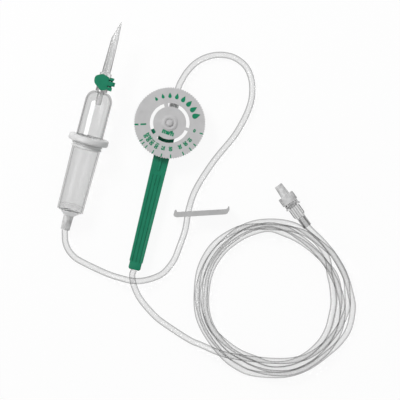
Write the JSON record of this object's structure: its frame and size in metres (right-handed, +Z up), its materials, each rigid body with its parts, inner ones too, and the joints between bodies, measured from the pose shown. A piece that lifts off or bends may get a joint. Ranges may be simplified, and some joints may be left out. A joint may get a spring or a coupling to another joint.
{
  "type": "iv infusion set",
  "caption": "Gravity infusion set with a vented spike and drip chamber, a dial flow regulator on a channel handle, a slide clamp and clear tubing that ends in a coil and a capped luer lock.",
  "frame": {"origin": "on the table, under the axis of the regulator's dial", "axes": "+X to the right and +Y the way that the spike points, both on the table, and +Z up"},
  "size_m": [0.19, 0.2298, 0.0266],
  "materials": {
    "clear_plastic": "clear and polished",
    "tube_vinyl": "clear soft vinyl",
    "milky_plastic": "milky and lightly frosted",
    "green_plastic": "satin",
    "dial_plastic": "satin grey",
    "clamp_plastic": "satin grey",
    "seal_rubber": "soft silicone",
    "filter_white": "white porous disc"
  },
  "bodies": {
    "main": {"outlet_cap": "milky_plastic", "fluid_filter": "filter_white", "lower_chamber": "milky_plastic", "flange_ring": "milky_plastic", "upper_chamber": "clear_plastic", "drop_tube": "clear_plastic", "spike": "clear_plastic", "air_filter": "filter_white", "regulator_base": "green_plastic", "flow_body": "milky_plastic", "metering_seal": "seal_rubber", "pivot_pin": "milky_plastic", "luer_connector": "clear_plastic", "tube_coil": "tube_vinyl", "tube_upper": "tube_vinyl", "channel_tube": "tube_vinyl", "tube_lead": "tube_vinyl", "tube_tail": "tube_vinyl"},
    "dial": {"dial": "dial_plastic"},
    "vent_cap": {"vent_cap": "green_plastic"},
    "slide_clamp": {"slide_clamp": "clamp_plastic"},
    "lock_collar": {"lock_collar": "clear_plastic"},
    "luer_cap": {"luer_cap": "milky_plastic", "cap_membrane": "filter_white"}
  },
  "joints": [
    {"name": "dial_turn", "type": "hinge", "parent": "main", "child": "dial", "pos_m": [0, 0, 0], "axis": [0, 0, 1], "range_deg": [-85, 74]},
    {"name": "vent_cap_hinge", "type": "hinge", "parent": "main", "child": "vent_cap", "pos_m": [-0.03783, 0.02455, 0.02266], "axis": [0.2558, 0.9614, 0.1018], "range_deg": [0, 120]},
    {"name": "clamp_slide", "type": "slide", "parent": "main", "child": "slide_clamp", "axis": [-0.9982, -0.0593, 0], "range_m": [0, 0.011], "deforming": ["tube_upper"]},
    {"name": "collar_turn", "type": "hinge", "parent": "main", "child": "lock_collar", "pos_m": [0.0894, -0.067, 0.00585], "axis": [-0.5835, 0.8121, 0], "continuous": true},
    {"name": "luer_cap_slide", "type": "slide", "parent": "lock_collar", "child": "luer_cap", "axis": [-0.5835, 0.8121, 0], "range_m": [0, 0.012]}
  ]
}
